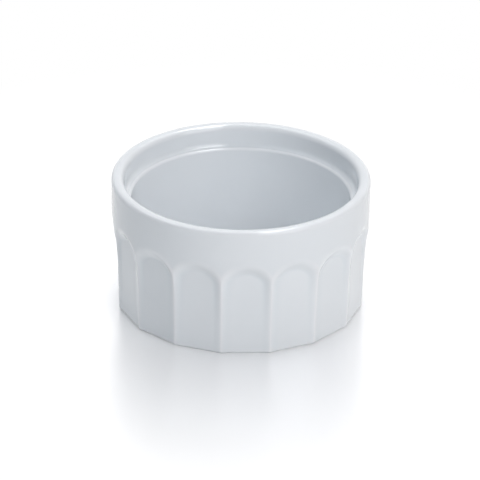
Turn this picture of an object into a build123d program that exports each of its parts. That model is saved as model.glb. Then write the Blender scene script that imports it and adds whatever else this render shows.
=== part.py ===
from build123d import *
import os
from math import pi, radians, sin, sqrt, tan

# Ramekin: a straight-sided porcelain baking dish with sixteen arched flutes round
# its wall, a plain band above them, a rounded rim and a ledge inside the rim.
# It is one fired body under a glassy coat. The coat runs over the outside, the rim
# and the inside, and a second patch of it lines the hollow under the dish. The foot
# ring between the two is left bare, because glaze there would stick in the kiln.
# Millimetres, +Z up, origin at the middle of the foot ring on the table.
# The middle of a flute faces -Y.

# Driving dimensions of the whole dish
rim_diameter = 90.0
dish_height = 47.5

# Rim: a wall end with a low crest and rounded edges
rim_width = 4.3
rim_crown = 0.25
rim_crest_inset = 1.8
rim_outer_round = 1.4
rim_inner_round = 2.0

# Inside: a ledge below the rim, then the bowl
ledge_drop = 7.7
ledge_width = 2.6
ledge_corner_round = 1.5
ledge_shoulder_round = 1.0
bowl_draft_angle = 2.0
floor_thickness = 3.6
floor_round = 4.0

# Underside: a foot ring round a shallow hollow
foot_width = 4.6
hollow_depth = 1.6
hollow_corner_round = 0.8
foot_edge_radius = 1.5
foot_edge_sweep = 60.0

# Flutes: a flat floor, arched at the top, with sloping flanks up to the ridges
flute_count = 16
flute_depth = 2.2
flute_draft_angle = 0.8
flute_floor_width = 11.8
arch_spring_height = 26.0
arch_rise = 4.4
flank_lean_low = 6.0
flank_lean_high = 32.0
flank_softness = 0.6

# Glaze
glaze_thickness = 0.25
glaze_line_height = 0.6

# Cutting tools: how far they run past what they cut, and how finely they are drawn
overrun = 0.5
tool_reach = 8.0
tool_width_share = 1.4
tool_columns = 28
tool_foot_rows = 10
tool_wall_rows = 44
surface_tolerance = 0.02

# Sizes that follow from those above
rim_radius = rim_diameter / 2
crest_radius = rim_radius - rim_crest_inset
lip_radius = rim_radius - rim_width
ledge_height = dish_height - ledge_drop
ledge_radius = lip_radius - ledge_width
floor_height = hollow_depth + floor_thickness
bowl_foot_radius = ledge_radius - (ledge_height - floor_height) * tan(radians(bowl_draft_angle))
arch_top_height = arch_spring_height + arch_rise
foot_edge_height = foot_edge_radius * sin(radians(foot_edge_sweep))
facet_half_width = rim_radius * sin(pi / flute_count)
tool_half_width = facet_half_width * tool_width_share
tool_top_height = arch_top_height + facet_half_width - flute_floor_width / 2 + foot_edge_height + overrun


def flute_floor_distance(z):
    """Distance from the axis to a flute's flat floor at height z, measured square to the floor."""
    below_arch = arch_top_height - z
    return rim_radius - flute_depth - below_arch * tan(radians(flute_draft_angle))


def foot_edge_inset(z):
    """How far the rounded bottom edge lies inside the wall at height z: an arc, then its tangent."""
    if z > foot_edge_height:
        return 0
    above_table = max(z, 0)
    arc = foot_edge_radius - sqrt(foot_edge_radius**2 - (foot_edge_height - above_table) ** 2)
    return arc + (above_table - z) * tan(radians(foot_edge_sweep))


foot_inner_radius = flute_floor_distance(0) - foot_edge_inset(0) - foot_width


def beyond_floor(u, z):
    """Distance of a point on a flute from the edge of its arched flat floor; zero on the floor.

    Below the spring line the floor ends at its straight sides. Above it the floor ends at
    an ellipse, and the distance is the ellipse's value divided by the size of its slope.
    """
    half_width = flute_floor_width / 2
    if z <= arch_spring_height:
        return max(abs(u) - half_width, 0)
    across = u / half_width
    up = (z - arch_spring_height) / arch_rise
    value = sqrt(across**2 + up**2)
    if value <= 1:
        return 0
    slope = sqrt((across / half_width) ** 2 + (up / arch_rise) ** 2) / value
    return (value - 1) / slope


def flank_slope(z):
    """Slope of the flank against the floor at height z: it grows with the cube of the height."""
    low, high = tan(radians(flank_lean_low)), tan(radians(flank_lean_high))
    share = min(max(z / arch_top_height, 0), 1)
    return low + (high - low) * share**3


def flute_distance(u, z):
    """Distance from the axis to the flute's surface, square to its floor, at u across and height z.

    Past the floor's edge the flank rises along a hyperbola, so it bends up softly.
    """
    bend = sqrt(beyond_floor(u, z) ** 2 + flank_softness**2) - flank_softness
    return flute_floor_distance(z) + flank_slope(z) * bend - foot_edge_inset(z)


def tool_heights():
    """Heights of the tool's rows: close together round the bottom edge, even above it."""
    foot_span = foot_edge_height + overrun
    wall_span = tool_top_height - foot_edge_height
    foot_rows = [foot_span * row / tool_foot_rows - overrun for row in range(tool_foot_rows)]
    wall_rows = [foot_edge_height + wall_span * row / tool_wall_rows for row in range(tool_wall_rows + 1)]
    return foot_rows + wall_rows


def flute_tool(skin):
    """Solid that cuts half of the flute facing -Y: its surface, run outwards. skin sets it inwards."""
    span = tool_half_width + overrun
    columns = [span * column / tool_columns - overrun for column in range(tool_columns + 1)]
    grid = [[(u, skin - flute_distance(u, z), z) for u in columns] for z in tool_heights()]
    surface = Face.make_surface_from_array_of_points(grid, tol=surface_tolerance)
    with BuildPart() as tool:
        extrude(surface, amount=tool_reach, dir=(0, -1, 0))
    return tool.part


def corner(sketch, radius, height):
    """The sketch's corner nearest to a radius and a height."""
    return sketch.vertices().sort_by_distance(Vector(radius, height))[0]


def half_flute_form(skin):
    """Wedge of the dish from the middle of a flute to its ridge, set back by skin all over."""
    crown_edge = dish_height - rim_crown
    with BuildPart() as form:
        with BuildSketch(Plane.XZ.rotated((0, 0, -90))) as section:
            with BuildLine():
                Polyline(
                    (0, hollow_depth),
                    (foot_inner_radius, hollow_depth),
                    (foot_inner_radius, 0),
                    (rim_radius, 0),
                    (rim_radius, crown_edge),
                    (crest_radius, dish_height),
                    (lip_radius, crown_edge),
                    (lip_radius, ledge_height),
                    (ledge_radius, ledge_height),
                    (bowl_foot_radius, floor_height),
                    (0, floor_height),
                    (0, hollow_depth),
                )
            make_face()
            fillet(corner(section, rim_radius, crown_edge), rim_outer_round)
            fillet(corner(section, crest_radius, dish_height), rim_crest_inset)
            fillet(corner(section, lip_radius, crown_edge), rim_inner_round)
            fillet(corner(section, lip_radius, ledge_height), ledge_corner_round)
            fillet(corner(section, ledge_radius, ledge_height), ledge_shoulder_round)
            fillet(corner(section, bowl_foot_radius, floor_height), floor_round)
            fillet(corner(section, foot_inner_radius, hollow_depth), hollow_corner_round)
            if skin:
                mirror(about=Plane.YZ)
                offset(amount=-skin)
                split(bisect_by=Plane.YZ)
        revolve(axis=Axis.Z, revolution_arc=180 / flute_count)
        add(flute_tool(skin), mode=Mode.SUBTRACT)
    return form.part


def whole_flute(half):
    """A half flute's wedge joined to its mirror image."""
    with BuildPart() as flute:
        add(half)
        mirror(about=Plane.YZ)
    return flute.part


half_dish = half_flute_form(0)

# Half a flute of the fired porcelain: under the glaze, and full size below the glaze line
with BuildPart() as half_body:
    add(half_dish)
    with BuildSketch():
        Circle(rim_diameter)
    extrude(amount=glaze_line_height, mode=Mode.INTERSECT)
    add(half_flute_form(glaze_thickness))

# Half a flute of the glaze: what the dish has beyond its porcelain, outside and underneath
with BuildPart() as half_glaze:
    add(half_dish)
    add(half_body.part, mode=Mode.SUBTRACT)
underside_patch, outer_patch = half_glaze.solids().sort_by(SortBy.VOLUME)

# Fired porcelain: floor, fluted wall, ledge, rim core and bare foot ring
with BuildPart() as porcelain_body:
    with PolarLocations(0, flute_count):
        add(whole_flute(half_body.part))
porcelain_body.part.label = "porcelain_body"

# Glassy coat over the outside, the rim and the inside
with BuildPart() as glaze_coat:
    with PolarLocations(0, flute_count):
        add(whole_flute(outer_patch))
glaze_coat.part.label = "glaze_coat"

# Glassy lining of the hollow inside the foot ring
with BuildPart() as underside_glaze:
    with PolarLocations(0, flute_count):
        add(whole_flute(underside_patch))
underside_glaze.part.label = "underside_glaze"

os.makedirs("parts", exist_ok=True)
export_step(porcelain_body.part, "parts/porcelain_body.step")
export_step(glaze_coat.part, "parts/glaze_coat.step")
export_step(underside_glaze.part, "parts/underside_glaze.step")
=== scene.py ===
import math

import bpy
import numpy as np
from bpy.props import FloatProperty, FloatVectorProperty, IntProperty, PointerProperty
from mathutils import Matrix, Vector


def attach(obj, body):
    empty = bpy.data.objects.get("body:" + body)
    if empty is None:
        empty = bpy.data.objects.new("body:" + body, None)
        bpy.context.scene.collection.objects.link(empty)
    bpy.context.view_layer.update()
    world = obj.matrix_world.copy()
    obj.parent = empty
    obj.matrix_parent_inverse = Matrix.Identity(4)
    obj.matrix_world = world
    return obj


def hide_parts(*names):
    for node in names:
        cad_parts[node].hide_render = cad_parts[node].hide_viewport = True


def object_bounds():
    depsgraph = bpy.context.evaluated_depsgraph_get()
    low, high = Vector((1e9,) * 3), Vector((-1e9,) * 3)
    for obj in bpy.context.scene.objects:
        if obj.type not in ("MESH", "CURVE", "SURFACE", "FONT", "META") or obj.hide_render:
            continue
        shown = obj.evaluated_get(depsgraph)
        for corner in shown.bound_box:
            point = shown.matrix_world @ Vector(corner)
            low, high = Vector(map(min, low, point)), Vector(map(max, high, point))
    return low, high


bl_info = {
    "name": "Fluted Ramekin",
    "version": (1, 0, 0),
    "blender": (4, 5, 0),
    "location": "View3D > Sidebar > Ramekin",
    "description": "Glazed porcelain ramekin with arched flutes, on a pale glossy table",
    "category": "Object",
}

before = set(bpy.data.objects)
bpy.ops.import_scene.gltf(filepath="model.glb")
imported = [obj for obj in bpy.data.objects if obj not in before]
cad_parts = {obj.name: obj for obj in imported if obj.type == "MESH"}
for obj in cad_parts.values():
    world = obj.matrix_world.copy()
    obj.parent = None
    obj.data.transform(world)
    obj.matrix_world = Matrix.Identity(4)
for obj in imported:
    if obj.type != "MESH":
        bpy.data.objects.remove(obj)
CAD_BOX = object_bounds()
CAD_LOW, CAD_HIGH = CAD_BOX

# Columns of the surfaces in one flute: on the dish, and in the hollow underneath
COLUMN_STEPS = 28
HOLLOW_COLUMN_STEPS = 12

# Rows in each arc and each straight run of the inside's section, from the floor to the rim
INSIDE_ARC_STEPS = (10, 9, 6, 10, 3, 10)
INSIDE_RUN_STEPS = (9, 9, 1, 4, 1, 1, 1)

# How far the inside's section runs down the outer wall, as a share of the rim's outer round
SECTION_END_SHARE = 1.6

# Rows in the hollow's corner and in its two runs
HOLLOW_ARC_STEPS = (8,)
HOLLOW_RUN_STEPS = (8, 2)

# Rows of the bare foot: up its outside, and round the inner edge with its two runs
FOOT_ROWS = 6
FOOT_EDGE_ARC_STEPS = (5,)
FOOT_EDGE_RUN_STEPS = (1, 1)

# Rows of the outer wall: on the band, round the arches, on the flutes, round the bottom edge
BAND_ROWS = 5
ARCH_ROWS = 44
FLUTE_ROWS = 16
BOTTOM_EDGE_ROWS = 5

# How far the close rows round the arches run below the spring and above the top, in metres
ARCH_ROWS_BELOW = 0.002
ARCH_ROWS_ABOVE = 0.0055

# Strides over the rows of the section and of the wall: where the glaze shows, and behind it
SHOWN_STRIDES = (1, 1)
BEHIND_STRIDES = (2, 3)

# Times that a radius is put back into its own equation
RADIUS_PASSES = 14

# Angle from which the edge between two faces is drawn sharp
SHARP_ANGLE = math.radians(60)

# Smallest divisor, against a division by zero
TINY = 1e-12

# Depth of the glaze by the bend of the surface, and with it painted highlight on ridges and
# edges and painted shade in hollows: the weight of the bend round the axis, the gain on a bend
# in radians per millimetre, and the depth on a flat
BEND_WEIGHT_ROUND = 5
BEND_GAIN = 0.5
FLAT_POOL_AND_SHADE = 0.5
MILLIMETRES_PER_METRE = 1000

# Glaze: how far the clouds move its depth, and how far its roughness strays from the setting,
# up and down, as a share of it
CLOUD_SHARE = 0.30
ROUGHNESS_STRAY_SHARE = 0.25

# How much further underneath the glaze leans to its deep colour, which is pooled glaze and painted
# shade
UNDERSIDE_POOL_AND_SHADE_SHIFT = 0.1

# Bare porcelain: its darkest and palest clouds, as shares of its colour
BARE_DARK_SHARE = 0.93
BARE_PALE_SHARE = 1.05

# Colour of the room, and of the table to the eye
WHITE = (1.0, 1.0, 1.0, 1.0)

# Colour of the table as a matt board, where it gives light back to the dish
BOARD_COLOUR = (0.95, 0.95, 0.95, 1.0)

# Table top: its thickness, and the radius of its first ring, in metres, its rings and columns
TABLE_THICKNESS = 0.02
TABLE_FIRST_RING = 0.01
TABLE_RINGS = 24
TABLE_COLUMNS = 96

# Height over the table of the point at which the lamps look, in metres
LAMP_AIM_HEIGHT = 0.02

# Lamps: the settings that hold their power and colour, their turn round the dish from the
# front towards the right and their rise over the table, in degrees, their distance from the
# dish and their width and height, in metres, and for some the kind of ray that misses them
LAMPS = {
    "key_softbox": {
        "power": "key_power", "tint": "lamp_colour",
        "turn": 38, "rise": 28, "distance": 1.1, "size": (0.70, 1.00)},
    "rear_high_softbox": {
        "power": "rear_high_power", "tint": "lamp_colour",
        "turn": 180, "rise": 66, "distance": 1.3, "size": (1.60, 0.90)},
    "rear_low_softbox": {
        "power": "rear_low_power", "tint": "lamp_colour",
        "turn": 180, "rise": 28, "distance": 1.3, "size": (1.60, 0.90)},
    "strip_softbox": {
        "power": "strip_power", "tint": "lamp_colour",
        "turn": 98, "rise": 75, "distance": 1.1, "size": (1.10, 0.28), "unseen": "diffuse"},
    "front_fill": {
        "power": "front_power", "tint": "front_colour",
        "turn": 0, "rise": 45, "distance": 1.3, "size": (1.40, 1.40), "unseen": "glossy"},
    "left_fill": {
        "power": "left_power", "tint": "left_colour",
        "turn": -70, "rise": 45, "distance": 1.3, "size": (1.40, 1.40), "unseen": "glossy"},
    "rear_fill": {
        "power": "rear_power", "tint": "lamp_colour",
        "turn": 180, "rise": 45, "distance": 1.3, "size": (1.40, 1.40), "unseen": "glossy"},
}

# Camera: its sensor's width in millimetres, and the nearest and farthest that it sees
SENSOR_WIDTH = 36.0
CLIP_RANGE = (0.05, 20.0)


class RamekinDishSizes(bpy.types.PropertyGroup):
    """Sizes of the dish itself, in metres."""

    rim_diameter: FloatProperty(
        name="Rim Diameter", description="Width of the dish over its plain band",
        default=CAD_HIGH.x - CAD_LOW.x, min=0.03, unit="LENGTH")
    height: FloatProperty(
        name="Height", description="Height of the crown of the rim over the table",
        default=0.0475, min=0.02, unit="LENGTH")
    rim_width: FloatProperty(
        name="Rim Width", description="Thickness of the wall at the rim",
        default=0.0043, min=0.002, unit="LENGTH")
    rim_crown: FloatProperty(
        name="Rim Crown", description="Rise of the rim's crest over its edges",
        default=0.00025, min=0.00005, unit="LENGTH")
    rim_crest_inset: FloatProperty(
        name="Rim Crest Inset", description="Distance of the rim's crest from the outer wall",
        default=0.0018, min=0.0005, unit="LENGTH")
    rim_outer_round: FloatProperty(
        name="Rim Outer Round", description="Radius of the rim's outer edge",
        default=0.0014, min=0.0002, unit="LENGTH")
    rim_inner_round: FloatProperty(
        name="Rim Inner Round", description="Radius of the rim's inner edge",
        default=0.0020, min=0.0002, unit="LENGTH")
    ledge_drop: FloatProperty(
        name="Ledge Drop", description="Depth of the inner ledge under the rim",
        default=0.0077, min=0.002, unit="LENGTH")
    ledge_width: FloatProperty(
        name="Ledge Width", description="Width of the inner ledge",
        default=0.0026, min=0.001, unit="LENGTH")
    ledge_corner_round: FloatProperty(
        name="Ledge Corner Round", description="Radius of the hollow corner over the ledge",
        default=0.0015, min=0.0002, unit="LENGTH")
    ledge_shoulder_round: FloatProperty(
        name="Ledge Shoulder Round", description="Radius of the ledge's edge over the bowl",
        default=0.0010, min=0.0002, unit="LENGTH")
    bowl_draft: FloatProperty(
        name="Bowl Draft", description="Lean of the bowl's wall from upright",
        default=math.radians(2.0), min=0.0, subtype="ANGLE")
    floor_height: FloatProperty(
        name="Floor Height", description="Height of the bowl's floor over the table",
        default=0.0052, min=0.002, unit="LENGTH")
    floor_round: FloatProperty(
        name="Floor Round", description="Radius between the bowl's floor and its wall",
        default=0.0040, min=0.001, unit="LENGTH")
    foot_width: FloatProperty(
        name="Foot Width", description="Width of the flat foot ring in the middle of a flute",
        default=0.0046, min=0.001, unit="LENGTH")
    foot_inner_edge: FloatProperty(
        name="Foot Inner Edge", description="Radius of the foot ring's inner edge",
        default=0.0003, min=0.0001, unit="LENGTH")
    hollow_depth: FloatProperty(
        name="Hollow Depth", description="Depth of the hollow under the dish",
        default=0.0016, min=0.0012, unit="LENGTH")
    hollow_corner_round: FloatProperty(
        name="Hollow Corner Round", description="Radius of the corner in the hollow",
        default=0.0008, min=0.0003, unit="LENGTH")
    foot_edge_radius: FloatProperty(
        name="Foot Edge Radius", description="Radius of the wall's bottom edge",
        default=0.0015, min=0.0005, unit="LENGTH")
    foot_edge_sweep: FloatProperty(
        name="Foot Edge Sweep", description="Turn of the bottom edge's arc down to the table",
        default=math.radians(60), min=0.2, subtype="ANGLE")


class RamekinFluteSizes(bpy.types.PropertyGroup):
    """Sizes of the arched flutes round the wall, in metres."""

    count: IntProperty(
        name="Flutes", description="Number of flutes round the wall", default=16, min=6, max=32)
    depth: FloatProperty(
        name="Flute Depth", description="Depth of a flute's floor at the top of its arch",
        default=0.0022, min=0.0005, unit="LENGTH")
    draft: FloatProperty(
        name="Flute Draft", description="Lean of a flute's floor from upright",
        default=math.radians(0.8), min=0.0, subtype="ANGLE")
    floor_width: FloatProperty(
        name="Floor Width", description="Width of a flute's flat floor",
        default=0.0118, min=0.003, unit="LENGTH")
    arch_spring: FloatProperty(
        name="Arch Spring", description="Height at which the floor's arch begins",
        default=0.0260, min=0.005, unit="LENGTH")
    arch_rise: FloatProperty(
        name="Arch Rise", description="Height of the floor's arch over its spring",
        default=0.0044, min=0.001, unit="LENGTH")
    flank_lean_low: FloatProperty(
        name="Flank Lean Low", description="Angle of a flute's flank to its floor, at the table",
        default=math.radians(6), min=0.01, subtype="ANGLE")
    flank_lean_high: FloatProperty(
        name="Flank Lean High", description="Angle of a flute's flank to its floor, round the arch",
        default=math.radians(32), min=0.01, subtype="ANGLE")
    flank_softness: FloatProperty(
        name="Flank Softness", description="Distance over which a flank bends up from the floor",
        default=0.0006, min=0.0001, unit="LENGTH")
    ridge_round: FloatProperty(
        name="Ridge Round", description="Distance over which glaze softens a ridge",
        default=0.00035, min=0.00005, unit="LENGTH")
    arch_edge_round: FloatProperty(
        name="Arch Edge Round", description="Depth over which glaze softens the arch's edge",
        default=0.00085, min=0.00005, unit="LENGTH")


class RamekinGlazeFinish(bpy.types.PropertyGroup):
    """Colours and surface of the glaze and of the bare foot."""

    thickness: FloatProperty(
        name="Glaze Thickness", description="Thickness of the glaze coat",
        default=0.00025, min=0.00005, unit="LENGTH")
    line_height: FloatProperty(
        name="Glaze Line", description="Height over the table at which the glaze ends",
        default=0.0006, min=0.0002, unit="LENGTH")
    # Thin and deep glaze colours. Besides the glaze's real pooling, the pale one is painted
    # highlight on ridges, edges and the rim's crest, and the dark one is painted shade in hollows,
    # corners and flutes
    thin_glaze_and_highlight_colour: FloatVectorProperty(
        name="Thin Glaze", description="Colour where the glaze runs thin, on edges and ridges",
        default=(0.874, 0.874, 0.886), min=0.0, max=1.0, subtype="COLOR")
    pooled_glaze_and_shade_colour: FloatVectorProperty(
        name="Deep Glaze", description="Colour where the glaze gathers, in corners and flutes",
        default=(0.750, 0.786, 0.812), min=0.0, max=1.0, subtype="COLOR")
    gloss_roughness: FloatProperty(
        name="Gloss Roughness", description="Roughness of the glaze",
        default=0.07, min=0.0, max=1.0, subtype="FACTOR")
    bare_colour: FloatVectorProperty(
        name="Bare Porcelain", description="Colour of the unglazed foot ring",
        default=(0.77, 0.785, 0.80), min=0.0, max=1.0, subtype="COLOR")


class RamekinStageSetup(bpy.types.PropertyGroup):
    """Camera, table and lamps."""

    lens: FloatProperty(
        name="Lens", description="Focal length in millimetres on a 36 mm sensor",
        default=298.0, min=20.0)
    camera_distance: FloatProperty(
        name="Camera Distance", description="Distance from the camera to the point it looks at",
        default=1.390, min=0.2, unit="LENGTH")
    camera_elevation: FloatProperty(
        name="Camera Elevation", description="Angle of the camera over the table",
        default=math.radians(26.683), subtype="ANGLE")
    camera_turn: FloatProperty(
        name="Camera Turn", description="Turn of the camera round the dish from its front",
        default=math.radians(-3.0), subtype="ANGLE")
    camera_roll: FloatProperty(
        name="Camera Roll", description="Turn of the camera about its own axis",
        default=math.radians(0.75), subtype="ANGLE")
    aim_side: FloatProperty(
        name="Aim Side", description="Sideways place of the point that the camera looks at",
        default=-0.00010, unit="LENGTH")
    aim_height: FloatProperty(
        name="Aim Height", description="Height of the point that the camera looks at",
        default=0.02237, unit="LENGTH")
    table_radius: FloatProperty(
        name="Table Radius", description="Radius of the pale table",
        default=3.0, min=0.5, unit="LENGTH")
    fade_start: FloatProperty(
        name="Fade Start",
        description="Distance from the dish's axis at which reflection and shadow begin to fade",
        default=0.041, min=0.01, unit="LENGTH")
    mirror_colour: FloatVectorProperty(
        name="Reflection Colour", description="Tint of the table's reflection",
        default=(0.92, 0.92, 0.94), min=0.0, max=1.0, subtype="COLOR")
    mirror_roughness: FloatProperty(
        name="Reflection Roughness", description="Blur of the table's reflection",
        default=0.28, min=0.0, max=1.0, subtype="FACTOR")
    mirror_share: FloatProperty(
        name="Table Reflection",
        description="Share of the table's look that is reflection, at the dish",
        default=0.70, min=0.0, max=1.0, subtype="FACTOR")
    mirror_reach: FloatProperty(
        name="Reflection Reach",
        description="Distance from the dish's axis at which the reflection ends",
        default=0.200, min=0.05, unit="LENGTH")
    shadow_share: FloatProperty(
        name="Shadow Share", description="Share of the table's look that takes shadow, at the dish",
        default=0.45, min=0.0, max=1.0, subtype="FACTOR")
    shadow_reach: FloatProperty(
        name="Shadow Reach", description="Distance from the dish's axis at which the shadow ends",
        default=0.054, min=0.045, unit="LENGTH")
    lamp_colour: FloatVectorProperty(
        name="Lamp Colour",
        description="Colour of all lamps but the fills at the front and the left",
        default=(0.975, 0.985, 1.0), min=0.0, max=1.0, subtype="COLOR")
    key_power: FloatProperty(
        name="Key Softbox", description="Power of the large softbox at the front right",
        default=5.5, min=0.0, unit="POWER")
    rear_high_power: FloatProperty(
        name="High Rear Softbox", description="Power of the wide softbox high behind the dish",
        default=8.3, min=0.0, unit="POWER")
    rear_low_power: FloatProperty(
        name="Low Rear Softbox", description="Power of the dim wide softbox low behind the dish",
        default=0.9, min=0.0, unit="POWER")
    strip_power: FloatProperty(
        name="Strip Softbox",
        description="Power of the long softbox overhead at the right, seen in gloss only",
        default=7.0, min=0.0, unit="POWER")
    front_power: FloatProperty(
        name="Front Fill", description="Power of the soft fill at the front",
        default=4.0, min=0.0, unit="POWER")
    front_colour: FloatVectorProperty(
        name="Front Fill Colour", description="Colour of the fill at the front, faintly cool",
        default=(0.95, 0.965, 1.0), min=0.0, max=1.0, subtype="COLOR")
    left_power: FloatProperty(
        name="Left Fill", description="Power of the soft fill at the left",
        default=2.8, min=0.0, unit="POWER")
    left_colour: FloatVectorProperty(
        name="Left Fill Colour",
        description="Colour of the fill at the left, cooler than the rest",
        default=(0.72, 0.87, 1.0), min=0.0, max=1.0, subtype="COLOR")
    rear_power: FloatProperty(
        name="Rear Fill", description="Power of the soft fill behind the dish",
        default=6.4, min=0.0, unit="POWER")
    world_level: FloatProperty(
        name="Room Light", description="Brightness of the pale room as the dish receives it",
        default=0.0, min=0.0)


def settings():
    """The scene's own copies of the four groups of settings."""
    scene = bpy.context.scene
    return scene.ramekin_dish, scene.ramekin_flutes, scene.ramekin_glaze, scene.ramekin_stage


# Shape


def smooth_min(first, second, width):
    """Smaller of two arrays, with the crossing rounded.

    Where the two differ by less than width, a quarter of width times the square of the
    remaining share is taken off, which makes the bend between them smooth.
    """
    near = np.clip(1 - np.abs(first - second) / width, 0, 1)
    return np.minimum(first, second) - near**2 * width / 4


def beyond_floor(across, height, flutes):
    """Distance from the edge of a flute's arched flat floor; zero on the floor.

    Below the spring it is the distance past the floor's straight side. Above it the edge
    is an ellipse: the distance is the ellipse's value less one, over the size of its slope.
    Both divisors are held at 1 or more, which matters on the floor only.
    """
    half = flutes.floor_width / 2
    below = np.maximum(np.abs(across) - half, 0)
    side = across / half
    rise = np.maximum(height - flutes.arch_spring, 0) / flutes.arch_rise
    value = np.sqrt(side**2 + rise**2)
    slope = np.sqrt((side / half) ** 2 + (rise / flutes.arch_rise) ** 2) / np.maximum(value, 1)
    above = np.maximum(value - 1, 0) / np.maximum(slope, 1)
    return np.where(height > flutes.arch_spring, above, below)


def foot_edge_inset(height, dish):
    """How far the rounded bottom edge lies inside the wall: a circular arc that ends upright."""
    edge_height = dish.foot_edge_radius * math.sin(dish.foot_edge_sweep)
    under = np.clip(edge_height - height, 0, edge_height)
    return dish.foot_edge_radius - np.sqrt(dish.foot_edge_radius**2 - under**2)


def flute_distance(across, height, dish, flutes):
    """Distance from the axis to a flute's surface, measured square to its flat floor.

    The floor leans by the draft. Past its edge the flank rises along a hyperbola: slope
    times (the root of the distance squared plus the softness squared, less the softness).
    The slope grows with the cube of the height from the table to the top of the arch.
    """
    arch_top = flutes.arch_spring + flutes.arch_rise
    floor = dish.rim_diameter / 2 - flutes.depth - (arch_top - height) * math.tan(flutes.draft)
    low, high = math.tan(flutes.flank_lean_low), math.tan(flutes.flank_lean_high)
    slope = low + (high - low) * np.clip(height / arch_top, 0, 1) ** 3
    past = beyond_floor(across, height, flutes)
    flank = slope * (np.hypot(past, flutes.flank_softness) - flutes.flank_softness)
    return floor + flank - foot_edge_inset(height, dish)


def flute_radius(turn, height, dish, flutes):
    """Distance from the axis to the fluted surface at an angle and a height.

    A point at radius R and angle t from a flute's middle lies R sin t across it and R cos t
    out, so R is where R cos t equals the flute's distance at R sin t. It is found by putting
    R back into the right side a few times. Next to a ridge the distance s from the ridge is
    replaced by the root of s squared plus the ridge round squared, so the ridge is rounded.
    R is held within the outer wall plus a flute's depth, where only the band is needed.
    """
    half = math.pi / flutes.count
    outer = dish.rim_diameter / 2
    from_middle = np.abs((turn + half) % (2 * half) - half)
    from_ridge = np.sqrt((half - from_middle) ** 2 + (flutes.ridge_round / outer) ** 2)
    from_middle = np.maximum(half - from_ridge, 0)
    radius = np.full(np.broadcast(turn, height).shape, outer)
    for _ in range(RADIUS_PASSES):
        across = radius * np.sin(from_middle)
        radius = flute_distance(across, height, dish, flutes) / np.cos(from_middle)
        radius = np.minimum(radius, outer + flutes.depth)
    return radius


def wall_rows(turns, heights, skin, dish, flutes):
    """Rows of points on the outer wall, top first: the plain band cut back by the flutes."""
    heights = heights[:, None]
    outer = dish.rim_diameter / 2
    fluted = flute_radius(turns, heights, dish, flutes)
    radius = smooth_min(np.full_like(fluted, outer), fluted, flutes.arch_edge_round) - skin
    return around(turns, radius, heights)


def around(turns, radius, height):
    """Points at angles from the front, counted from -Y towards +X, at a radius and a height."""
    radius, height, turns = np.broadcast_arrays(radius, height, turns)
    return np.stack([radius * np.sin(turns), -radius * np.cos(turns), height], axis=-1)


def turned_rows(turns, path):
    """Rows of points from a section's path, carried once round the axis."""
    return around(turns, path[:, :1], path[:, 1:])


def rounded_path(corners, rounds, arc_steps, run_steps):
    """Line through corners, each rounded by an arc of its own radius, as an array of points.

    An arc that turns by angle A begins radius times tan(A/2) before its corner. Its points
    are the start plus radius times (sin a along the line in, and 1 - cos a square to it).
    """
    corners = np.array(corners, float)
    points, start = [corners[:1]], corners[0]
    for i, (radius, arc_step) in enumerate(zip(rounds, arc_steps), 1):
        into = corners[i] - corners[i - 1]
        out = corners[i + 1] - corners[i]
        into, out = into / np.hypot(*into), out / np.hypot(*out)
        turn = math.acos(np.clip(into @ out, -1, 1))
        square = out - (out @ into) * into
        square = square / np.hypot(*square)
        arc_start = corners[i] - into * radius * math.tan(turn / 2)
        angles = np.linspace(0, turn, arc_step + 1)[:, None]
        arc = arc_start + radius * (np.sin(angles) * into + (1 - np.cos(angles)) * square)
        shares = np.linspace(0, 1, run_steps[i - 1] + 1)[1:-1, None]
        points += [start + (arc_start - start) * shares, arc]
        start = arc[-1]
    shares = np.linspace(0, 1, run_steps[-1] + 1)[1:, None]
    points.append(start + (corners[-1] - start) * shares)
    return np.concatenate(points)


def set_back(path, skin):
    """A path moved by skin to its right, square to itself at each point."""
    along = np.gradient(path, axis=0)
    along = along / np.hypot(along[:, :1], along[:, 1:])
    return path + skin * np.stack([along[:, 1], -along[:, 0]], axis=-1)


def inside_path(dish):
    """Section of the bowl, ledge and rim, from the middle of the floor to the outer wall."""
    outer = dish.rim_diameter / 2
    lip = outer - dish.rim_width
    ledge_height = dish.height - dish.ledge_drop
    ledge = lip - dish.ledge_width
    bowl_foot = ledge - (ledge_height - dish.floor_height) * math.tan(dish.bowl_draft)
    edge_height = dish.height - dish.rim_crown
    crest = outer - dish.rim_crest_inset
    corners = [
        (0, dish.floor_height), (bowl_foot, dish.floor_height), (ledge, ledge_height),
        (lip, ledge_height), (lip, edge_height), (crest, dish.height),
        (outer, edge_height), (outer, edge_height - SECTION_END_SHARE * dish.rim_outer_round),
    ]
    rounds = [
        dish.floor_round, dish.ledge_shoulder_round, dish.ledge_corner_round,
        dish.rim_inner_round, dish.rim_crest_inset, dish.rim_outer_round,
    ]
    return rounded_path(corners, rounds, INSIDE_ARC_STEPS, INSIDE_RUN_STEPS)


def foot_inner_radius(dish, flutes):
    """Radius of the foot ring's inner edge: its outer edge in a flute's middle less its width."""
    return float(flute_distance(0.0, 0.0, dish, flutes)) - dish.foot_width


def hollow_path(dish, flutes, glaze, skin):
    """Section of the hollow underneath, from its middle to the glaze line, set back by skin."""
    inner = foot_inner_radius(dish, flutes) + skin
    top = dish.hollow_depth + skin
    return rounded_path(
        [(0, top), (inner, top), (inner, glaze.line_height)],
        [dish.hollow_corner_round + skin], HOLLOW_ARC_STEPS, HOLLOW_RUN_STEPS)


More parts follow.
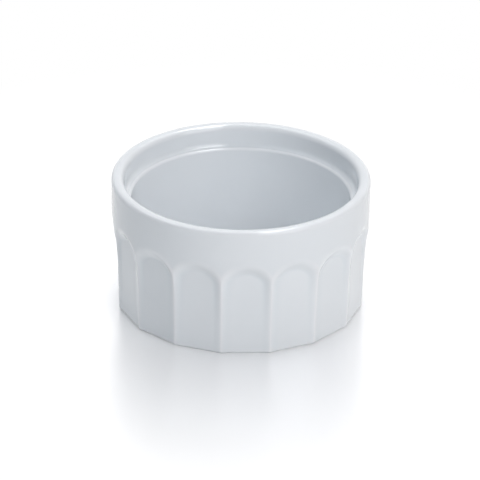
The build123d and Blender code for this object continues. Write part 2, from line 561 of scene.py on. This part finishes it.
def outer_rows(skin, strides):
    """Rows from the bowl's floor over the rim and down the wall to the glaze line.

    They are set back by skin. strides say which rows of the section and of the wall are
    taken: 1 for every row, 2 for every second row and so on.
    """
    dish, flutes, glaze, _ = settings()
    path_stride, wall_stride = strides
    turns = columns(flutes.count, COLUMN_STEPS)
    path = inside_path(dish)
    edge_height = dish.foot_edge_radius * math.sin(dish.foot_edge_sweep)
    arch_low = flutes.arch_spring - ARCH_ROWS_BELOW
    arch_high = flutes.arch_spring + flutes.arch_rise + ARCH_ROWS_ABOVE
    heights = np.concatenate([
        np.linspace(path[-1, 1], arch_high, BAND_ROWS)[1:-1],
        np.linspace(arch_high, arch_low, ARCH_ROWS),
        np.linspace(arch_low, edge_height, FLUTE_ROWS)[1:],
        np.linspace(edge_height, glaze.line_height, BOTTOM_EDGE_ROWS)[1:],
    ])
    path_rows = np.arange(1, len(path), path_stride)
    wall_ends = np.arange(len(heights) - 1, -1, -wall_stride)[::-1]
    return np.concatenate([
        turned_rows(turns, set_back(path, skin)[path_rows]),
        wall_rows(turns, heights[wall_ends], skin, dish, flutes),
    ])


def columns(count, steps):
    """Angles of the columns, closer together towards the ridges: a sine of even steps."""
    half = math.pi / count
    middles = 2 * half * np.arange(count)[:, None]
    within = half * np.sin(np.linspace(-1, 1, steps, endpoint=False) * math.pi / 2)
    return (middles + within).ravel()


def closed_surface(name, rows, first_pole, last_pole):
    """Mesh object from rows of points that each go once round the axis, with a point at each end.

    Each row joins the next by quads, each row's end joins its start, and triangles close
    the first and the last row on their poles. Faces point outwards for rows that go out
    from an upper pole and come back to a lower one.
    """
    count, around_count = rows.shape[:2]
    points = np.concatenate([rows.reshape(-1, 3), [first_pole, last_pole]])
    index = np.arange(count * around_count).reshape(count, around_count)
    beside = np.roll(index, -1, axis=1)
    quads = np.stack([index[:-1], index[1:], beside[1:], beside[:-1]], axis=-1).reshape(-1, 4)
    first, last = len(points) - 2, len(points) - 1
    cap = np.stack([np.full(around_count, first), index[0], beside[0]], axis=-1)
    base = np.stack([np.full(around_count, last), beside[-1], index[-1]], axis=-1)
    mesh = bpy.data.meshes.new(name)
    mesh.from_pydata(points.tolist(), [], quads.tolist() + cap.tolist() + base.tolist())
    mesh.polygons.foreach_set("use_smooth", np.ones(len(mesh.polygons), bool))
    mesh.set_sharp_from_angle(angle=SHARP_ANGLE)
    mesh.validate()
    mesh.update()
    piece = bpy.data.objects.new(name, mesh)
    bpy.context.scene.collection.objects.link(piece)
    return piece


def finish_piece(piece, material, node):
    """Gives a piece its material, hides the CAD node that it replaces, and hangs it under the root
    body.
    """
    piece.data.materials.append(material)
    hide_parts(node)
    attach(piece, "root")


def record_bend(piece, rows):
    """Stores how the surface bends as the attribute glaze_depth: 1 in hollows, 0 on edges.

    The bend along a column and along a row is the change of the normal over the change of
    place. Both are added, in radians per millimetre, and laid between 0 and 1 round a half
    by a hyperbolic tangent. The bend along a row, round the axis, counts five times: it is
    the ridges between the flutes, from which the glaze runs off before it sets, and their pale
    colour is also painted highlight. Near 1 the colour is pooled glaze and painted shade in
    hollows, under the arches and in flutes; near 0 it is thin glaze and painted highlight on
    ridges, edges and the rim.
    """
    along = np.gradient(rows, axis=0)
    wrapped = np.concatenate([rows[:, -1:], rows, rows[:, :1]], axis=1)
    across = np.gradient(wrapped, axis=1)[:, 1:-1]
    normal = np.cross(along, across)
    normal = normal / np.maximum(np.linalg.norm(normal, axis=-1, keepdims=True), TINY)
    turn_along = np.gradient(normal, axis=0)
    wrapped = np.concatenate([normal[:, -1:], normal, normal[:, :1]], axis=1)
    turn_across = np.gradient(wrapped, axis=1)[:, 1:-1]
    bend = (turn_along * along).sum(-1) / np.maximum((along**2).sum(-1), TINY)
    bend_round = (turn_across * across).sum(-1) / np.maximum((across**2).sum(-1), TINY)
    bend += BEND_WEIGHT_ROUND * bend_round
    # Near 1: pooled glaze and painted shade; near 0: thin glaze and painted highlight
    depth = FLAT_POOL_AND_SHADE * (1 - np.tanh(BEND_GAIN * bend / MILLIMETRES_PER_METRE))
    depth = np.append(depth.ravel(), [FLAT_POOL_AND_SHADE, FLAT_POOL_AND_SHADE])
    attribute = piece.data.attributes.new("glaze_depth", "FLOAT", "POINT")
    attribute.data.foreach_set("value", depth.astype(np.float32))


# Materials


def add_node(tree, kind, inputs=None, **options):
    """A new node of a tree, with its options, and its inputs set or linked by name or number."""
    node = tree.nodes.new(kind)
    for key, value in options.items():
        setattr(node, key, value)
    for key, value in (inputs or {}).items():
        if isinstance(value, bpy.types.NodeSocket):
            tree.links.new(value, node.inputs[key])
        else:
            node.inputs[key].default_value = value
    return node


def colour(value):
    """A colour setting as the four numbers that a shader socket takes."""
    return (*value, 1.0)


def noise(tree, place, scale, detail, roughness):
    """Socket of a noise between 0 and 1. scale is roughly its number of blots to the metre."""
    return add_node(tree, "ShaderNodeTexNoise", {
        "Vector": place, "Scale": scale, "Detail": detail, "Roughness": roughness}).outputs["Fac"]


def maths(tree, operation, first, second):
    """Socket of an operation on two values, each of them a number or a socket."""
    return add_node(tree, "ShaderNodeMath", {0: first, 1: second}, operation=operation).outputs[0]


def mixed_colour(tree, share, first, second):
    """Socket of the colour at a share of the way from the first colour to the second."""
    return add_node(tree, "ShaderNodeMix", {
        0: share, 6: colour(first), 7: colour(second)}, data_type="RGBA").outputs[2]


def new_material(name):
    """An empty node material, its tree and the socket of a point's place on its object."""
    material = bpy.data.materials.new(name)
    material.use_nodes = True
    tree = material.node_tree
    tree.nodes.clear()
    return material, tree, add_node(tree, "ShaderNodeTexCoord").outputs["Object"]


def glaze_material(name, glaze, pool_and_shade_shift=0.0):
    """Glossy white glaze: cooler and deeper in hollows, paler on edges, with faint clouds.

    Noise gives the slightly uneven gloss of a fired surface, and a faint ripple. The cooler,
    darker hollows are pooled glaze and painted shade; the paler edges and ridges are thin glaze
    and painted highlight.
    """
    material, tree, place = new_material(name)
    pooling_and_shade = add_node(tree, "ShaderNodeAttribute", attribute_name="glaze_depth").outputs["Fac"]
    clouds = noise(tree, place, scale=55.0, detail=3.0, roughness=0.55)
    shift = add_node(tree, "ShaderNodeMath", {
        0: clouds, 1: CLOUD_SHARE, 2: pool_and_shade_shift - CLOUD_SHARE / 2},
        operation="MULTIPLY_ADD").outputs[0]
    depth = add_node(tree, "ShaderNodeMath", {0: pooling_and_shade, 1: shift},
                     operation="ADD", use_clamp=True).outputs[0]
    # Thin to deep colour by the attribute: painted highlight on ridges and edges, painted shade in
    # hollows, over the glaze's real pooling
    tone = mixed_colour(tree, depth, glaze.thin_glaze_and_highlight_colour, glaze.pooled_glaze_and_shade_colour)
    haze = noise(tree, place, scale=180.0, detail=4.0, roughness=0.6)
    roughness = add_node(tree, "ShaderNodeMapRange", {
        "Value": haze, "From Min": 0.3, "From Max": 0.7,
        "To Min": glaze.gloss_roughness * (1 - ROUGHNESS_STRAY_SHARE),
        "To Max": glaze.gloss_roughness * (1 + ROUGHNESS_STRAY_SHARE)}).outputs[0]
    peel = noise(tree, place, scale=420.0, detail=2.0, roughness=0.5)
    bump = add_node(tree, "ShaderNodeBump", {
        "Height": peel, "Strength": 0.02, "Distance": 0.0004}).outputs["Normal"]
    shader = add_node(tree, "ShaderNodeBsdfPrincipled", {
        "Base Color": tone, "Roughness": roughness, "Normal": bump, "IOR": 1.52})
    add_node(tree, "ShaderNodeOutputMaterial", {"Surface": shader.outputs["BSDF"]})
    return material


def bare_porcelain_material(name, glaze):
    """Fired porcelain without glaze: matt, faintly cool and finely granular."""
    material, tree, place = new_material(name)
    clouds = noise(tree, place, scale=90.0, detail=5.0, roughness=0.6)
    bare = Vector(glaze.bare_colour)
    tone = mixed_colour(tree, clouds, bare * BARE_DARK_SHARE, bare * BARE_PALE_SHARE)
    grain = noise(tree, place, scale=2600.0, detail=3.0, roughness=0.6)
    bump = add_node(tree, "ShaderNodeBump", {
        "Height": grain, "Strength": 0.35, "Distance": 0.0001}).outputs["Normal"]
    roughness = add_node(tree, "ShaderNodeMapRange", {
        "Value": grain, "To Min": 0.55, "To Max": 0.75}).outputs[0]
    shader = add_node(tree, "ShaderNodeBsdfPrincipled", {
        "Base Color": tone, "Roughness": roughness, "Normal": bump, "IOR": 1.5})
    add_node(tree, "ShaderNodeOutputMaterial", {"Surface": shader.outputs["BSDF"]})
    return material


def white_to_the_eye(tree):
    """1 for rays from the camera, off a glossy surface or through glass, and 0 for others."""
    path = add_node(tree, "ShaderNodeLightPath").outputs
    seen = maths(tree, "MAXIMUM", path["Is Camera Ray"], path["Is Glossy Ray"])
    return maths(tree, "MAXIMUM", seen, path["Is Transmission Ray"])


def table_material(name, stage):
    """Glossy white table.

    To the eye it is white, with a shadow close to the dish and a blurred reflection of the
    dish that fades outwards. As light it is a matt white board.
    """
    material, tree, place = new_material(name)
    radius = add_node(tree, "ShaderNodeVectorMath", {0: place}, operation="LENGTH").outputs["Value"]
    matt = add_node(tree, "ShaderNodeBsdfDiffuse", {"Color": BOARD_COLOUR}).outputs[0]
    white = add_node(tree, "ShaderNodeEmission", {"Color": WHITE, "Strength": 1.0}).outputs[0]
    mirror = add_node(tree, "ShaderNodeBsdfGlossy", {
        "Color": colour(stage.mirror_colour), "Roughness": stage.mirror_roughness}).outputs[0]
    fade = add_node(tree, "ShaderNodeMapRange", {
        "Value": radius, "From Min": stage.fade_start, "From Max": stage.mirror_reach,
        "To Min": stage.mirror_share, "To Max": 0.0}).outputs[0]
    by_eye = add_node(tree, "ShaderNodeLightPath").outputs["Is Camera Ray"]
    fade = maths(tree, "MULTIPLY", fade, by_eye)
    seen = add_node(tree, "ShaderNodeMixShader", {0: fade, 1: white, 2: mirror}).outputs[0]
    clear = add_node(tree, "ShaderNodeMapRange", {
        "Value": radius, "From Min": stage.fade_start, "From Max": stage.shadow_reach,
        "To Min": 1 - stage.shadow_share, "To Max": 1.0},
        interpolation_type="SMOOTHSTEP").outputs[0]
    clear = maths(tree, "MULTIPLY", clear, white_to_the_eye(tree))
    look = add_node(tree, "ShaderNodeMixShader", {0: clear, 1: matt, 2: seen}).outputs[0]
    add_node(tree, "ShaderNodeOutputMaterial", {"Surface": look})
    return material


# Operators


class RAMEKIN_OT_glaze_coat(bpy.types.Operator):
    """Makes the glaze over the outside, the rim and the inside"""

    bl_idname = "ramekin.glaze_coat"
    bl_label = "Glaze Coat"

    def execute(self, context):
        dish, _, glaze, _ = settings()
        rows = np.concatenate([
            outer_rows(0.0, SHOWN_STRIDES),
            outer_rows(glaze.thickness, BEHIND_STRIDES)[::-1],
        ])
        middle = (0, 0, dish.floor_height)
        middle_behind = (0, 0, dish.floor_height - glaze.thickness)
        coat = closed_surface("glaze_coat_shell", rows, middle, middle_behind)
        record_bend(coat, rows)
        material = glaze_material("white_glaze", glaze)
        finish_piece(coat, material, "glaze_coat")
        return {"FINISHED"}


class RAMEKIN_OT_porcelain_body(bpy.types.Operator):
    """Makes the fired porcelain under the glaze, with its bare foot ring"""

    bl_idname = "ramekin.porcelain_body"
    bl_label = "Porcelain Body"

    def execute(self, context):
        dish, flutes, glaze, _ = settings()
        turns = columns(flutes.count, COLUMN_STEPS)
        bottom = np.linspace(glaze.line_height, 0, FOOT_ROWS)
        foot = wall_rows(turns, bottom, 0.0, dish, flutes)
        inner = foot_inner_radius(dish, flutes)
        edge = dish.foot_inner_edge
        ring = rounded_path(
            [(inner + 2 * edge, 0), (inner, 0), (inner, glaze.line_height)],
            [edge], FOOT_EDGE_ARC_STEPS, FOOT_EDGE_RUN_STEPS)
        hollow = hollow_path(dish, flutes, glaze, glaze.thickness)[::-1]
        rows = np.concatenate([
            outer_rows(glaze.thickness, BEHIND_STRIDES),
            foot,
            turned_rows(turns, ring),
            turned_rows(turns, hollow[:-1]),
        ])
        middle = (0, 0, dish.floor_height - glaze.thickness)
        middle_below = (0, 0, dish.hollow_depth + glaze.thickness)
        body = closed_surface("porcelain_body_ware", rows, middle, middle_below)
        material = bare_porcelain_material("bare_porcelain", glaze)
        finish_piece(body, material, "porcelain_body")
        return {"FINISHED"}


class RAMEKIN_OT_underside_glaze(bpy.types.Operator):
    """Makes the glaze that lines the hollow inside the foot ring"""

    bl_idname = "ramekin.underside_glaze"
    bl_label = "Underside Glaze"

    def execute(self, context):
        dish, flutes, glaze, _ = settings()
        turns = columns(flutes.count, HOLLOW_COLUMN_STEPS)
        behind = hollow_path(dish, flutes, glaze, glaze.thickness)
        shown = hollow_path(dish, flutes, glaze, 0.0)[::-1]
        rows = np.concatenate([turned_rows(turns, behind[1:]), turned_rows(turns, shown[:-1])])
        middle_behind = (0, 0, dish.hollow_depth + glaze.thickness)
        middle = (0, 0, dish.hollow_depth)
        lining = closed_surface("underside_glaze_lining", rows, middle_behind, middle)
        record_bend(lining, rows)
        material = glaze_material("underside_glaze", glaze, UNDERSIDE_POOL_AND_SHADE_SHIFT)
        finish_piece(lining, material, "underside_glaze")
        return {"FINISHED"}


class RAMEKIN_OT_stage(bpy.types.Operator):
    """Makes the table, the softboxes, the room light and the camera"""

    bl_idname = "ramekin.stage"
    bl_label = "Table, Lamps and Camera"

    def execute(self, context):
        stage = context.scene.ramekin_stage
        context.scene.view_settings.view_transform = "Standard"
        table_top(stage)
        for name, lamp in LAMPS.items():
            softbox(name, stage, **lamp)
        room(stage)
        context.scene.camera = studio_camera(stage)
        return {"FINISHED"}


def table_top(stage):
    """Round table top: rings whose radii grow by equal ratios, closed in the middle."""
    turns = np.linspace(0, 2 * math.pi, TABLE_COLUMNS, endpoint=False)
    radii = np.geomspace(TABLE_FIRST_RING, stage.table_radius, TABLE_RINGS)[:, None]
    top = around(turns, radii, 0.0)
    under = around(turns, radii[::-1], -TABLE_THICKNESS)
    rows = np.concatenate([top, under])
    table = closed_surface("table", rows, (0, 0, 0), (0, 0, -TABLE_THICKNESS))
    table.data.materials.append(table_material("glossy_table", stage))


def softbox(name, stage, power, tint, turn, rise, distance, size, unseen=None):
    """Rectangular lamp that looks at the dish. The camera doesn't see it.

    power and tint name the stage's settings for its power and colour. turn, rise, distance
    and size are as in LAMPS. unseen is the kind of ray, diffuse or glossy, that misses it.
    """
    lamp = bpy.data.lights.new(name, "AREA")
    lamp.shape = "RECTANGLE"
    lamp.size, lamp.size_y = size
    lamp.energy, lamp.color = getattr(stage, power), getattr(stage, tint)
    holder = bpy.data.objects.new(name, lamp)
    turn, rise = math.radians(turn), math.radians(rise)
    level = math.cos(rise)
    away = Vector((math.sin(turn) * level, -math.cos(turn) * level, math.sin(rise)))
    holder.location = away * distance + Vector((0, 0, LAMP_AIM_HEIGHT))
    holder.rotation_euler = (-away).to_track_quat("-Z", "Y").to_euler()
    holder.visible_camera = False
    holder.visible_diffuse = unseen != "diffuse"
    holder.visible_glossy = unseen != "glossy"
    bpy.context.scene.collection.objects.link(holder)


def room(stage):
    """Pale room: white to the eye and in reflections, at its own level as light."""
    world = bpy.data.worlds.new("pale_room")
    world.use_nodes = True
    tree = world.node_tree
    tree.nodes.clear()
    level = add_node(tree, "ShaderNodeMapRange", {
        "Value": white_to_the_eye(tree), "To Min": stage.world_level, "To Max": 1.0}).outputs[0]
    light = add_node(tree, "ShaderNodeBackground", {"Color": WHITE, "Strength": level})
    add_node(tree, "ShaderNodeOutputWorld", {"Surface": light.outputs[0]})
    bpy.context.scene.world = world


def studio_camera(stage):
    """Camera on a long lens, placed by its distance, elevation and turn round the aimed point."""
    data = bpy.data.cameras.new("studio_camera")
    data.lens = stage.lens
    data.sensor_width = SENSOR_WIDTH
    data.clip_start, data.clip_end = CLIP_RANGE
    camera = bpy.data.objects.new("studio_camera", data)
    turned = Matrix.Rotation(stage.camera_turn, 4, "Z")
    elevation = stage.camera_elevation
    back = Vector((0, -math.cos(elevation), math.sin(elevation)))
    aim = Vector((stage.aim_side, 0, stage.aim_height))
    stand = Matrix.Translation(aim + back * stage.camera_distance)
    look = Matrix.Rotation(math.pi / 2 - elevation, 4, "X")
    camera.matrix_world = turned @ stand @ look @ Matrix.Rotation(stage.camera_roll, 4, "Z")
    bpy.context.scene.collection.objects.link(camera)
    return camera


class RAMEKIN_PT_sidebar(bpy.types.Panel):
    """Settings and operators of the ramekin in the 3D view's sidebar."""

    bl_idname = "RAMEKIN_PT_sidebar"
    bl_label = "Fluted Ramekin"
    bl_space_type = "VIEW_3D"
    bl_region_type = "UI"
    bl_category = "Ramekin"

    def draw(self, context):
        layout = self.layout
        for title, group, operators in (
            ("Dish", context.scene.ramekin_dish, ("ramekin.porcelain_body",)),
            ("Flutes", context.scene.ramekin_flutes, ()),
            ("Glaze", context.scene.ramekin_glaze,
             ("ramekin.glaze_coat", "ramekin.underside_glaze")),
            ("Stage", context.scene.ramekin_stage, ("ramekin.stage",)),
        ):
            box = layout.box()
            box.label(text=title)
            for name in group.bl_rna.properties.keys():
                if name not in ("rna_type", "name"):
                    box.prop(group, name)
            for operator in operators:
                box.operator(operator)


CLASSES = (
    RamekinDishSizes, RamekinFluteSizes, RamekinGlazeFinish, RamekinStageSetup,
    RAMEKIN_OT_porcelain_body, RAMEKIN_OT_glaze_coat, RAMEKIN_OT_underside_glaze,
    RAMEKIN_OT_stage, RAMEKIN_PT_sidebar,
)


def register():
    """Adds the classes, and a place for each group of settings in the scene."""
    for one in CLASSES:
        bpy.utils.register_class(one)
    bpy.types.Scene.ramekin_dish = PointerProperty(type=RamekinDishSizes)
    bpy.types.Scene.ramekin_flutes = PointerProperty(type=RamekinFluteSizes)
    bpy.types.Scene.ramekin_glaze = PointerProperty(type=RamekinGlazeFinish)
    bpy.types.Scene.ramekin_stage = PointerProperty(type=RamekinStageSetup)


def unregister():
    """Takes away what register added, in the opposite order."""
    del bpy.types.Scene.ramekin_stage
    del bpy.types.Scene.ramekin_glaze
    del bpy.types.Scene.ramekin_flutes
    del bpy.types.Scene.ramekin_dish
    for one in reversed(CLASSES):
        bpy.utils.unregister_class(one)


def main():
    """Builds the pieces and the stage."""
    register()
    bpy.ops.ramekin.porcelain_body()
    bpy.ops.ramekin.glaze_coat()
    bpy.ops.ramekin.underside_glaze()
    bpy.ops.ramekin.stage()


if __name__ == "__main__":
    main()
